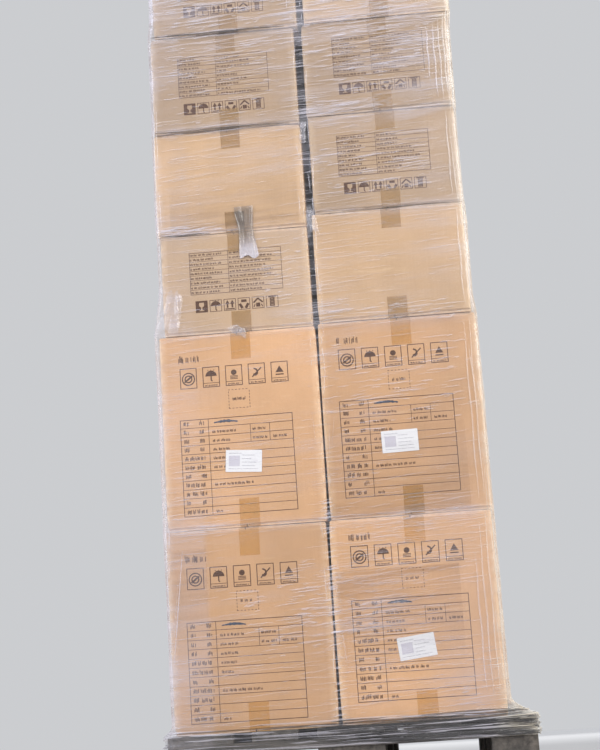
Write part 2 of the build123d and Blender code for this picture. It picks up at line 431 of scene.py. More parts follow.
def grain_value(tree, scale, detail=2.0, roughness=0.5):
    """Noise on the object, from 0 to 1, drawn out along the axes of small scale."""
    point = node(tree, "ShaderNodeMapping", Vector=object_point(tree), Scale=scale).outputs["Vector"]
    return noise_value(tree, point, detail, roughness)


def stored_value(tree, name):
    """A value that the mesh stores at each of its points."""
    made = tree.nodes.new("ShaderNodeAttribute")
    made.attribute_name = name
    return made.outputs["Fac"]


def math_value(tree, operation, first, second, clamped=False):
    """The result of one math node."""
    made = tree.nodes.new("ShaderNodeMath")
    made.operation = operation
    made.use_clamp = clamped
    put(tree, made.inputs[0], first)
    put(tree, made.inputs[1], second)
    return made.outputs[0]


def times(tree, *values):
    """The product of some values."""
    return reduce(lambda first, second: math_value(tree, "MULTIPLY", first, second), values)


def plus(tree, *values):
    """The sum of some values."""
    return reduce(lambda first, second: math_value(tree, "ADD", first, second), values)


def ramp_value(tree, value, low, high, start=0.0, end=1.0):
    """Map a value between low and high to a range, held at its ends."""
    made = node(tree, "ShaderNodeMapRange", Value=value)
    for name, number in (("From Min", low), ("From Max", high), ("To Min", start), ("To Max", end)):
        made.inputs[name].default_value = number
    made.clamp = True
    return made.outputs["Result"]


def blend_colour(tree, factor, first, second):
    """Two colours mixed by a factor."""
    made = tree.nodes.new("ShaderNodeMix")
    made.data_type = "RGBA"
    put(tree, made.inputs[0], factor)
    put(tree, made.inputs[6], first)
    put(tree, made.inputs[7], second)
    return made.outputs[2]


def bump_normal(tree, height, distance, strength):
    """A normal bumped by a height value."""
    return node(tree, "ShaderNodeBump", Height=height, Distance=distance, Strength=strength).outputs["Normal"]


def mixed_shader(tree, factor, first, second):
    """Two shaders mixed by a factor."""
    mixed = node(tree, "ShaderNodeMixShader", Fac=factor)
    put(tree, mixed.inputs[1], first.outputs[0])
    put(tree, mixed.inputs[2], second.outputs[0])
    return mixed


def principled(tree, **inputs):
    """The shader of a solid surface."""
    return node(tree, "ShaderNodeBsdfPrincipled", **inputs)


def see_through(tree, tint):
    """The shader of a clear surface with a tint."""
    return node(tree, "ShaderNodeBsdfTransparent", Color=tint)


# Materials


def board_material(name, light, tone):
    """Brown corrugated board: fibres, faint upright flutes, blotches, rubbed places, and lighter folds that
    are partly worn board and partly painted highlight.
    """
    material, tree = new_material(name)
    light, worn = scaled(light, tone), scaled(BARE_AND_HIGHLIT_BOARD, tone)
    dark = scaled(light, 0.80)
    blotch = grain_value(tree, (5, 5, 4), 4, 0.6)
    fibre = grain_value(tree, (400, 400, 900), 3, 0.7)
    flute = grain_value(tree, (130, 130, 3), 1)
    scuff = grain_value(tree, (9, 9, 60), 5, 0.7)
    nick = grain_value(tree, (60, 60, 60), 4, 0.7)
    base = blend_colour(tree, ramp_value(tree, blotch, 0.3, 0.7), dark, light)
    flecked = blend_colour(tree, ramp_value(tree, fibre, 0.35, 0.75, 0.0, 0.25), base, scaled(dark, 0.62))
    rubbed = blend_colour(tree, ramp_value(tree, scuff, 0.6, 0.75, 0.0, 0.22), flecked, worn)
    # Lighter board along the folds: partly wear, partly a painted highlight on the edges
    bare = times(tree, stored_value(tree, "fold"), ramp_value(tree, nick, 0.34, 0.56, 0.2, 0.9))
    height = plus(tree, times(tree, flute, 0.7), times(tree, fibre, 0.3))
    return finish(material, principled(
        tree,
        Base_Color=blend_colour(tree, bare, rubbed, worn),
        Roughness=ramp_value(tree, fibre, 0.2, 0.8, 0.7, 0.9),
        Normal=bump_normal(tree, height, 0.0006, 0.6),
    ))


def ink_material(name, shade):
    """Flexo print on rough board: dull, a little patchy, with board showing through."""
    material, tree = new_material(name)
    patch = grain_value(tree, (240, 240, 240), 3, 0.7)
    thin = blend_colour(tree, ramp_value(tree, patch, 0.5, 0.8, 0.0, 0.22), shade, (0.42, 0.29, 0.19))
    return finish(material, principled(tree, Base_Color=thin, Roughness=0.7))


def tape_material(name, cover, light):
    """Buff packing tape: glossy, half clear, with lengthwise strain lines and small wrinkles."""
    material, tree = new_material(name)
    strain = grain_value(tree, (160, 4, 7), 3, 0.6)
    wrinkle = grain_value(tree, (30, 60, 140), 4, 0.6)
    tone = blend_colour(tree, ramp_value(tree, strain, 0.35, 0.65), scaled(light, 0.86), light)
    height = plus(tree, times(tree, strain, 0.4), wrinkle)
    normal = bump_normal(tree, height, 0.0012, 0.5)
    buff = principled(tree, Base_Color=tone, Roughness=0.36, Normal=normal)
    return finish(material, mixed_shader(tree, cover, see_through(tree, (1.0, 0.96, 0.85)), buff))


def paper_material():
    """White label paper with a soft grain and slight ripples from its glue."""
    material, tree = new_material("label_paper_white")
    tone = blend_colour(tree, grain_value(tree, (700, 700, 700)), (0.72, 0.71, 0.72), (0.78, 0.78, 0.79))
    normal = bump_normal(tree, grain_value(tree, (25, 25, 40)), 0.001, 0.5)
    return finish(material, principled(tree, Base_Color=tone, Roughness=0.45, Normal=normal))


def timber_material(name, grain_scale):
    """Grey weathered softwood with grain along the piece, and dirt."""
    material, tree = new_material(name)
    grain = grain_value(tree, grain_scale, 6, 0.65)
    dirt = grain_value(tree, (9, 9, 9), 5, 0.65)
    base = blend_colour(tree, ramp_value(tree, grain, 0.3, 0.7), (0.028, 0.025, 0.023), (0.15, 0.130, 0.112))
    dirty = blend_colour(tree, ramp_value(tree, dirt, 0.45, 0.75, 0.0, 0.7), base, (0.06, 0.056, 0.052))
    normal = bump_normal(tree, grain, 0.0025, 0.8)
    return finish(material, principled(tree, Base_Color=dirty, Roughness=0.85, Normal=normal))


def nail_material():
    """Dull steel nail heads with a little rust."""
    material, tree = new_material("nail_steel")
    rust = ramp_value(tree, grain_value(tree, (300, 300, 300), 3), 0.45, 0.65)
    tone = blend_colour(tree, rust, (0.25, 0.24, 0.23), (0.20, 0.09, 0.04))
    return finish(material, principled(tree, Base_Color=tone, Roughness=0.5, Metallic=0.8))


def film_streaks(tree, slope, along, across, detail, roughness=0.6):
    """Noise drawn out along the wrap, which climbs by the given slope as it goes round."""
    point = node(tree, "ShaderNodeSeparateXYZ", Vector=object_point(tree))
    lap = plus(tree, point.outputs["X"], point.outputs["Y"])
    climb = math_value(tree, "SUBTRACT", point.outputs["Z"], times(tree, lap, slope))
    joined = node(tree, "ShaderNodeCombineXYZ", X=times(tree, lap, along), Z=times(tree, climb, across))
    return noise_value(tree, joined.outputs[0], detail, roughness)


def film_veil(tree, x, z, patch):
    """Faint even haze: over the upper tiers, down the left edge of the front and on its right side."""
    veils = [
        times(tree, ramp_value(tree, x, *across), ramp_value(tree, z, *upwards)) for across, upwards in VEILS
    ]
    return times(tree, plus(tree, *veils), ramp_value(tree, patch, 0.3, 0.6, 0.5, 1.2))


def film_milk(tree, z, patch, streaks, cloudy):
    """Milky threads and bands, in patches, thicker towards the top and thin in the gathered hem."""
    threads_and_bands = times(tree, streaks, cloudy)
    patchy = ramp_value(tree, patch, 0.38, 0.66, 0.05, 1.0)
    high = ramp_value(tree, z, 1.35, 2.0, 0.6, 1.35)
    return times(tree, threads_and_bands, patchy, high, ramp_value(tree, z, *HEM_EDGE, 0.45, 1.0))


def film_gloss(tree, z, rippled):
    """Clear film that mirrors more where it turns away, and hardly at all on the top edge."""
    gloss = node(tree, "ShaderNodeBsdfGlossy", Color=WHITE, Roughness=0.16, Normal=rippled)
    away = node(tree, "ShaderNodeLayerWeight", Blend=0.5, Normal=rippled).outputs["Facing"]
    mirror = ramp_value(tree, math_value(tree, "POWER", away, 5.0), 0.0, 1.0, 0.05, 0.28)
    mirror = times(tree, mirror, ramp_value(tree, z, *CROWN, 1.0, 0.06))
    return mixed_shader(tree, mirror, see_through(tree, WHITE), gloss)


def film_material(name):
    """Clear stretch film: see-through and glossy, with drawn-out milky threads and bands."""
    clear, cloudy, tint = FILM_KINDS[name]
    material, tree = new_material(name)
    x, y, z = node(tree, "ShaderNodeSeparateXYZ", Vector=object_point(tree)).outputs
    fine = film_streaks(tree, 0.045, 9, 480, 5, 0.7)
    broad = film_streaks(tree, 0.06, 2.6, 30, 4)
    patch = grain_value(tree, (3.1, 3.1, 4.2), 3, 0.6)
    bend = stored_value(tree, "bend")
    gathered = times(tree, bend, ramp_value(tree, broad, 0.35, 0.6, 0.06, 0.26))
    streaks = plus(tree, ramp_value(tree, fine, 0.5, 0.74), ramp_value(tree, broad, 0.46, 0.75))
    milk = film_milk(tree, z, patch, streaks, cloudy)
    haze = plus(tree, milk, clear, film_veil(tree, x, z, patch), gathered)
    haze = times(tree, haze, ramp_value(tree, z, *CROWN, 1.0, 0.55))
    edge = node(tree, "ShaderNodeLayerWeight", Blend=0.35).outputs["Facing"]
    grazing = times(tree, math_value(tree, "POWER", edge, 3.0), ramp_value(tree, z, *HEM_EDGE, 0.25, 0.7))
    cover = math_value(tree, "ADD", haze, grazing, clamped=True)
    rippled = bump_normal(tree, plus(tree, times(tree, fine, 0.5), broad), 0.0007, 0.5)
    # Warm light painted into the milky film's colour down the right front corner
    painted_warm_light_share = times(tree, ramp_value(tree, x, 0.30, 0.355), ramp_value(tree, y, -0.58, -0.54, 1.0, 0.0))
    shade = blend_colour(tree, painted_warm_light_share, MILKY, MILKY_PAINTED_WARM_LIGHT)
    if tint != MILKY:
        shade = blend_colour(tree, bend, tint, shade)
    milky = principled(
        tree,
        Base_Color=shade,
        Normal=rippled,
        Roughness=ramp_value(tree, z, *CROWN, 0.2, 0.7),
        Specular_IOR_Level=ramp_value(tree, z, *CROWN, 0.5, 0.05),
    )
    return finish(material, mixed_shader(tree, cover, film_gloss(tree, z, rippled), milky))


def lap_material():
    """A second layer of film: clear, and a little darker where it lies in streaks."""
    material, tree = new_material("film_lap")
    streak = film_streaks(tree, 0.05, 4, 90, 4)
    depth = times(tree, stored_value(tree, "bend"), ramp_value(tree, streak, 0.38, 0.62, 0.25, 1.0))
    dull = see_through(tree, (0.80, 0.79, 0.79))
    return finish(material, mixed_shader(tree, depth, see_through(tree, WHITE), dull))


# Mesh helpers


def add_piece(mesh):
    """A mesh as a piece that rides with the load."""
    piece = bpy.data.objects.new(mesh.name, mesh)
    bpy.context.scene.collection.objects.link(piece)
    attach(piece, "root")
    return piece


def new_piece(name, vertices, faces, material, smooth=False):
    """A piece made of points and faces."""
    mesh = bpy.data.meshes.new(name)
    mesh.from_pydata(vertices, [], faces)
    mesh.materials.append(material)
    mesh.validate()
    mesh.update()
    if smooth:
        mesh.shade_smooth()
    return add_piece(mesh)


def film_piece(name, vertices, faces, film, milky=()):
    """A piece of film, with how milky each of its points is where that varies."""
    piece = new_piece(name, vertices, faces, film, smooth=True)
    if milky:
        piece.data.attributes.new("bend", "FLOAT", "POINT").data.foreach_set("value", milky)
    return piece


def round_corner(inset_x, inset_y, radius):
    """Insets from two sides of a square corner, moved to those of a round corner of that radius.

    Returns the new insets, and the direction outwards there as an angle from the first axis.
    """
    depth = min(inset_x, inset_y)
    if max(inset_x, inset_y) >= radius or depth >= radius:
        return inset_x, inset_y, 90.0 if inset_x > inset_y else 0.0
    turn = 45.0 * (1 + (inset_x - inset_y) / (radius - depth))
    reach = radius - depth
    angle = math.radians(turn)
    return radius - reach * math.cos(angle), radius - reach * math.sin(angle), turn


def grid_faces(rows, columns, first=0, closed=False):
    """Quads between the points of a grid, which may close on itself from column to column."""
    faces = []
    for row in range(rows - 1):
        for i in range(columns if closed else columns - 1):
            a, b = first + row * columns + i, first + row * columns + (i + 1) % columns
            faces.append((a, b, b + columns, a + columns))
    return faces


def grid_shares(columns, rows):
    """How far across and along a grid each of its points lies, row by row."""
    return [(i / columns, j / rows) for j in range(rows + 1) for i in range(columns + 1)]


class Face:
    """A carton seen from its outer end: a corner, directions, sizes and the dents in its board."""

    def __init__(self, node_name):
        outward = -1 if node_name.endswith("front") else 1
        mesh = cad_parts[node_name].data
        ends = [p for p in mesh.polygons if p.normal.y * outward > 0.95]
        normal = sum((p.normal * p.area for p in ends), Vector()).normalized()
        reach = max(normal.dot(mesh.vertices[v].co) for p in ends for v in p.vertices)
        low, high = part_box(node_name)
        self.normal = normal
        self.up = Vector((0, 0, 1))
        self.right = self.up.cross(normal).normalized()
        across = [self.right.dot(vertex.co) for vertex in mesh.vertices]
        self.width = max(across) - min(across)
        self.depth = reach - min(normal.dot(vertex.co) for vertex in mesh.vertices)
        self.height = high.z - low.z
        self.corner = self.right * min(across) + normal * reach + Vector((0, 0, low.z))
        rng = random.Random(node_name)
        self.seed = rng.uniform(0, 50)
        self.sag = 0.0 if node_name.startswith(f"carton_{TIERS}") else TOP_SAG
        self.inner_is_far = ("left" in node_name) == node_name.endswith("front")
        self.bulge = BULGE if carton_kind(node_name) == "tall" else 0.0
        corners = [(x, z) for x in (0, self.width) for z in (0, self.height)]
        self.crushed = [(x, z, rng.choice(CORNER_CRUSHES)) for x, z in corners]

    def place(self, x, y, z):
        """The world point at local sizes: right from the corner, back from the end, and up."""
        return self.corner + self.right * x - self.normal * y + self.up * z

    def local(self, point):
        """Local sizes of a world point."""
        offset = point - self.corner
        return offset.dot(self.right), -offset.dot(self.normal), offset.z

    def dent(self, first, second):
        """Depth of the dents in a wall at two distances along it."""
        slow = rough(first * 6, second * 6, self.seed)
        quick = rough(first * 24, second * 24, self.seed + 9)
        return DENT_DEPTH * (0.5 + 0.5 * slow) + 0.25 * DENT_DEPTH * (0.5 + 0.5 * quick)

    def worn(self, x, y, z):
        """The local point, moved in to the dented walls, round folds, sagging top and crushed corners."""
        inset_x, inset_y = min(x, self.width - x), min(y, self.depth - y)
        side_x, side_y = (1 if x < self.width / 2 else -1), (1 if y < self.depth / 2 else -1)
        new_x, new_y, _ = round_corner(inset_x, inset_y, FOLD_RADIUS)
        new_y += self.dent(x, z + 3 * side_y) * near(inset_y, DENT_REACH)
        new_x += self.dent(y, z + 5 * side_x) * near(inset_x, DENT_REACH)
        if (side_x < 0) == self.inner_is_far:
            swell = math.sin(math.pi * clamp(z / self.height)) ** 0.4
            new_x -= self.bulge * swell * near(inset_x, DENT_REACH)
        rise = (z / self.height) ** 8
        new_z = z - self.sag * rise * (0.5 + 0.5 * rough(x * 9, y * 9, self.seed))
        for corner_x, corner_z, depth in self.crushed:
            away = math.dist((x, z), (corner_x, corner_z))
            crumple = 0.7 + 0.6 * rough(x * 70, y * 70, z * 70 + self.seed)
            crush = depth * near(away, CRUSH_REACH) ** 2 * near(inset_y, CRUSH_REACH) * crumple
            new_y += crush
            new_x += 0.5 * crush if abs(x - corner_x) < self.width / 2 else 0.0
        moved_x = new_x if side_x > 0 else self.width - new_x
        moved_y = new_y if side_y > 0 else self.depth - new_y
        return moved_x, moved_y, new_z

    def at(self, right, up, out):
        """A point on the worn end, in metres from its lower left corner, and proud of it."""
        return self.place(*self.worn(right, 0.0, up)) + self.normal * out


class LabelFace:
    """The front of a label, with its directions read from its own long straight edge."""

    def __init__(self, node_name):
        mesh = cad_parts[node_name].data
        fronts = [p for p in mesh.polygons if p.normal.y < -0.95]
        uses = Counter(key for p in fronts for key in p.edge_keys)
        rim = [[mesh.vertices[v].co for v in key] for key, count in uses.items() if count == 1]
        start, end = max(rim, key=lambda ends: (ends[1] - ends[0]).length)
        self.normal = fronts[0].normal.copy()
        self.right = (end - start).normalized() * (1 if end.x > start.x else -1)
        self.up = self.normal.cross(self.right)
        corners = [spot for ends in rim for spot in ends]
        self.middle = sum(corners, Vector()) / len(corners)

    def at(self, right, up, out):
        """A point on the label, in metres from its middle."""
        return self.middle + self.right * right + self.up * up + self.normal * out


class Drawing:
    """Flat inked shapes on one face, in one mesh. Sizes are in millimetres, or in shares of a cell."""

    def __init__(self, face, rng, origin=(0, 0), proud=INK_HEIGHT):
        self.face = face
        self.rng = rng
        self.origin = origin
        self.scale = 1.0
        self.proud = proud
        self.vertices = []
        self.faces = []

    def cell(self, x, y, size):
        """The same drawing, measured in shares of a square cell."""
        inner = copy(self)
        inner.origin = (self.origin[0] + x, self.origin[1] + y)
        inner.scale = size
        return inner

    def shape(self, points):
        """One filled outline."""
        first = len(self.vertices)
        for x, y in points:
            right, up = x * self.scale + self.origin[0], y * self.scale + self.origin[1]
            self.vertices.append(self.face.at(right * MM, up * MM, self.proud * MM))
        self.faces.append(list(range(first, first + len(points))))

    def bar(self, x, y, width, height):
        """A filled rectangle from its lower left corner, in short lengths that follow the board."""
        across = max(1, round(width * self.scale / BAR_LENGTH))
        upwards = max(1, round(height * self.scale / BAR_LENGTH))
        for i in range(across):
            for j in range(upwards):
                left, right = x + width * i / across, x + width * (i + 1) / across
                low, high = y + height * j / upwards, y + height * (j + 1) / upwards
                self.shape([(left, low), (right, low), (right, high), (left, high)])

    def stroke(self, start, end, thickness):
        """A straight line of a given thickness."""
        run = Vector((end[0] - start[0], end[1] - start[1]))
        side = Vector((-run.y, run.x)).normalized() * thickness / 2
        a, b = Vector(start), Vector(end)
        self.shape([tuple(a - side), tuple(b - side), tuple(b + side), tuple(a + side)])

    def path(self, points, thickness):
        """A chain of straight lines."""
        for start, end in zip(points, points[1:]):
            self.stroke(start, end, thickness)

    def frame(self, x, y, width, height, thickness):
        """An outlined rectangle."""
        self.bar(x, y, width, thickness)
        self.bar(x, y + height - thickness, width, thickness)
        self.bar(x, y + thickness, thickness, height - 2 * thickness)
        self.bar(x + width - thickness, y + thickness, thickness, height - 2 * thickness)

    def disc(self, x, y, radius, sides, sweep=360.0):
        """A filled disc, or the filled segment of one that a smaller sweep leaves."""
        steps = sides if sweep == 360.0 else sides + 1
        angles = [math.radians(sweep * i / sides) for i in range(steps)]
        self.shape([(x + radius * math.cos(a), y + radius * math.sin(a)) for a in angles])

    def ring(self, x, y, radius, thickness, sides=24):
        """A circle drawn as a line."""
        angles = [math.tau * i / sides for i in (*range(sides), 0)]
        self.path([(x + radius * math.cos(a), y + radius * math.sin(a)) for a in angles], thickness)

    def words(self, x, y, width, height):
        """A line of type greeked to a ragged band of fine slices that spells nothing."""
        reach = x + width
        slice_width = clamp(height * 0.13, 0.8, 1.5)
        while x < reach - slice_width:
            for _ in range(self.rng.randint(3, 6)):
                if x >= reach - slice_width:
                    break
                foot = height * self.rng.uniform(0.0, 0.22)
                self.bar(x, y + foot, slice_width, height * self.rng.uniform(0.5, 0.78))
                x += slice_width * self.rng.uniform(1.1, 1.75)
            x += height * self.rng.choice((0.16, 0.22, 0.45))

    def pen(self, x, y, width, height, steps=14):
        """A stroke of a marker pen, run back over itself."""
        upper, lower = [], []
        for i in range(steps + 1):
            share = i / steps
            middle = y + height * 0.5 + height * 0.35 * math.sin(share * 2.6) - share * height * 0.25
            taper = math.sin(math.pi * clamp(share, 0.06, 0.94)) ** 0.5
            half = height * (0.16 + 0.22 * self.rng.random()) * taper
            upper.append((x + width * share, middle + half))
            lower.append((x + width * share, middle - half))
        self.shape(lower + upper[::-1])


# Pictograms, each drawn in a square cell with sides of 1


def draw_umbrella(cell):
    """Keep dry: an umbrella under drops of rain."""
    cell.disc(0.5, 0.48, 0.42, sides=12, sweep=180)
    cell.stroke((0.5, 0.5), (0.5, 0.14), 0.09)
    cell.stroke((0.5, 0.14), (0.6, 0.12), 0.09)
    for x in (0.28, 0.5, 0.72):
        cell.stroke((x, 0.96), (x, 0.88), 0.05)


def draw_up_arrows(cell):
    """This way up: two arrows on a line."""
    cell.bar(0.12, 0.1, 0.76, 0.09)
    for x in (0.3, 0.7):
        cell.stroke((x, 0.24), (x, 0.60), 0.14)
        cell.shape([(x - 0.19, 0.56), (x + 0.19, 0.56), (x, 0.9)])


def draw_loop(cell):
    """Recyclable board: three short bars round a triangle."""
    for turn in (90, 210, 330):
        angles = [math.radians(turn + lean) for lean in (-38, 38)]
        ends = [(0.5 + 0.36 * math.cos(a), 0.45 + 0.36 * math.sin(a)) for a in angles]
        cell.stroke(*ends, 0.22)


def draw_shelter(cell):
    """Protect from heat: a roof over a block, with rays beside it."""
    cell.path([(0.12, 0.5), (0.5, 0.86), (0.88, 0.5)], 0.13)
    cell.bar(0.33, 0.14, 0.34, 0.34)
    cell.stroke((0.14, 0.14), (0.24, 0.36), 0.09)
    cell.stroke((0.86, 0.14), (0.76, 0.36), 0.09)


def draw_stack(cell):
    """Stacking limit: boxes one on another under a line."""
    cell.stroke((0.2, 0.9), (0.8, 0.9), 0.1)
    for level in range(3):
        cell.frame(0.3, 0.12 + 0.24 * level, 0.4, 0.22, 0.09)


def draw_sun(cell):
    """Keep from heat: a sun over ground lines."""
    cell.disc(0.5, 0.64, 0.21, sides=14)
    for level in range(3):
        cell.bar(0.22, 0.34 - 0.1 * level, 0.56, 0.055)


def draw_no_hook(cell):
    """Use no hooks: a hook crossed out."""
    cell.path([(0.3, 0.82), (0.52, 0.7), (0.56, 0.42), (0.4, 0.28), (0.26, 0.4)], 0.12)
    cell.stroke((0.16, 0.18), (0.86, 0.86), 0.09)


def draw_peak(cell):
    """Do not crush: a solid peak over a bar."""
    cell.shape([(0.2, 0.38), (0.8, 0.38), (0.5, 0.88)])
    cell.bar(0.2, 0.18, 0.6, 0.09)


def draw_ring_mark(cell):
    """Two plain rings with a bar across them."""
    cell.ring(0.5, 0.5, 0.4, 0.08)
    cell.ring(0.5, 0.5, 0.22, 0.09)
    cell.stroke((0.24, 0.3), (0.76, 0.7), 0.12)


def draw_glass_block(cell):
    """Fragile: a glass left bare in a solid square."""
    cell.bar(0, 0, 1, 0.14)
    cell.bar(0, 0.84, 1, 0.16)
    half = [(0, 0.14), (0.3, 0.14), (0.3, 0.2), (0.45, 0.22)]
    half += [(0.45, 0.44), (0.3, 0.56), (0.3, 0.84), (0, 0.84)]
    cell.shape(half)
    cell.shape([(1 - x, y) for x, y in reversed(half)])


TALL_PICTOGRAMS = (draw_ring_mark, draw_umbrella, draw_sun, draw_no_hook, draw_peak)
SHORT_PICTOGRAMS = (draw_glass_block, draw_umbrella, draw_up_arrows, draw_loop, draw_shelter, draw_stack)


# Print on the carton ends


def draw_table(art, table, row, divider, lines):
    """A ruled table with one upright line. Its lines are the frame's, the upright one's and the rows'."""
    frame_line, divider_line, row_line = lines
    art.frame(*table, frame_line)
    art.bar(divider, table.y, divider_line, table.height)
    for step in range(1, round(table.height / row)):
        art.bar(table.x, table.y + row * step, table.width, row_line)


def draw_tall_squares(art):
    """Five framed pictograms; all but the first have a caption."""
    square = TALL_SQUARE
    for step, draw in enumerate(TALL_PICTOGRAMS):
        x = square.x + TALL_SQUARE_PITCH * step
        art.frame(x, square.y, square.width, square.height, 1.8)
        if step == 0:
            draw(art.cell(x + 2, square.y + 5, square.width - 4))
            continue
        art.bar(x, square.y + CAPTION_HEIGHT, square.width, 1.2)
        draw(art.cell(x + 4, square.y + 11, square.width - 8))
        art.words(x + 5, square.y + 2.5, square.width - 10, 4.5)


def draw_seal(art):
    """A dashed square around a short line of type."""
    for step in range(0, 12, 2):
        for y in (SEAL.y, SEAL.y + SEAL.height):
            art.bar(SEAL.x + DASH * step, y, DASH, DASH_LINE)
        for x in (SEAL.x, SEAL.x + SEAL.width):
            art.bar(x, SEAL.y + DASH * step * 0.9, DASH_LINE, DASH)
    art.words(*SEAL_WORDS)


def print_tall(art):
    """The end of a tall carton: a title, five squares, a seal square and an eleven row table."""
    for step in range(3):
        art.words(TITLE_WORD.x + TITLE_PITCH * step, *TITLE_WORD[1:])
    draw_tall_squares(art)
    draw_seal(art)
    left, base, width, _ = TALL_TABLE
    row, rows = TALL_ROW, len(TALL_ENTRIES)
    divider = left + width * 0.25
    draw_table(art, TALL_TABLE, row, divider, (1.6, 1.3, 1.2))
    for step, (heading, entry) in enumerate(reversed(TALL_ENTRIES)):
        height = base + row * step + row * 0.26
        for inset, length in ((8, 12), (44, 12)) if heading == "apart" else ((8, 47),):
            art.words(left + inset, height, length, row * 0.62)
        if entry:
            art.words(divider + 9, height, entry, row * 0.4)
    for step in (rows - 3, rows - 2):
        height = base + row * step
        for share in (0.62, 0.79):
            art.bar(left + width * share, height, 1.1, row)
        art.words(left + width * 0.64, height + row * 0.28, 34, row * 0.4)
    art.words(left + width * 0.82, base + row * (rows - 3 + 0.28), 32, row * 0.4)


def print_short(art):
    """The end of a short carton: a nine row table over a row of six pictograms."""
    left, base, width, _ = SHORT_TABLE
    row, divider = SHORT_ROW, left + width * 0.42
    draw_table(art, SHORT_TABLE, row, divider, (1.2, 1.0, 0.9))
    for step in range(SHORT_ROWS):
        height = base + row * step + row * 0.2
        art.words(left + 2, height, art.rng.uniform(40, 76), row * 0.6)
        art.words(divider + 3, height, art.rng.uniform(24, 105), row * 0.56)
    square = SHORT_SQUARE
    for step, draw in enumerate(SHORT_PICTOGRAMS):
        x = square.x + SHORT_SQUARE_PITCH * step
        if step:
            art.frame(x, square.y, square.width, square.height, 1.4)
        draw(art.cell(x, square.y, square.width))


def carton_names():
    """The cartons' names, tier by tier."""
    return [f"carton_{tier}_{column}" for tier in range(1, TIERS + 1) for column in COLUMNS]


def carton_kind(name):
    """Tall, plain or short, by the carton's name."""
    if int(name.split("_")[1]) in TALL_TIERS:
        return "tall"
    return "plain" if name in PLAIN_CARTONS else "short"


def add_prints(ink):
    """The print of every printed carton, on its outer end."""
    for name in carton_names():
        kind = carton_kind(name)
        if kind == "plain":
            continue
        art = Drawing(Face(name), random.Random(name), PRINT_SHIFTS.get(name, (0, 0)))
        (print_tall if kind == "tall" else print_short)(art)
        new_piece(name.replace("carton", "print"), art.vertices, art.faces, ink)


def add_pen_strokes(pen):
    """Marker strokes over the first table row of the tall front cartons."""
    for name in PENNED_CARTONS:
        art = Drawing(Face(name), random.Random(name + " pen"), PRINT_SHIFTS[name], PEN_HEIGHT)
        art.pen(*PEN_STROKE)
        new_piece(name.replace("carton", "pen_stroke"), art.vertices, art.faces, pen)


def add_label_prints(ink, pale_ink):
    """Greeked contents of the labels: a pale grey block and a few lines."""
    for name in LABELS:
        rng = random.Random(name)
        face = LabelFace(name)
        block = Drawing(face, rng)
        block.bar(-34, -12, 25, 24)
        new_piece(name + "_block", block.vertices, block.faces, pale_ink)
        art = Drawing(face, rng)
        for y in (12, 4, -4, -12):
            art.words(-4, y, rng.uniform(20, 36), 2.6)
        art.words(-34, 16, 30, 3)
        art.words(-34, -19, 66, 2.6)
        new_piece(name + "_print", art.vertices, art.faces, ink)


# Stretch film


def smooth_reach(reach, passes=2):
    """Round the film's bends a little, never inside what carries it."""
    for _ in range(passes):
        inner = [(a + b + c) / 3 for a, b, c in zip(reach, reach[1:], reach[2:])]
        reach = [reach[0]] + [max(r, s) for r, s in zip(reach[1:], inner)] + [reach[-1]]
    return reach


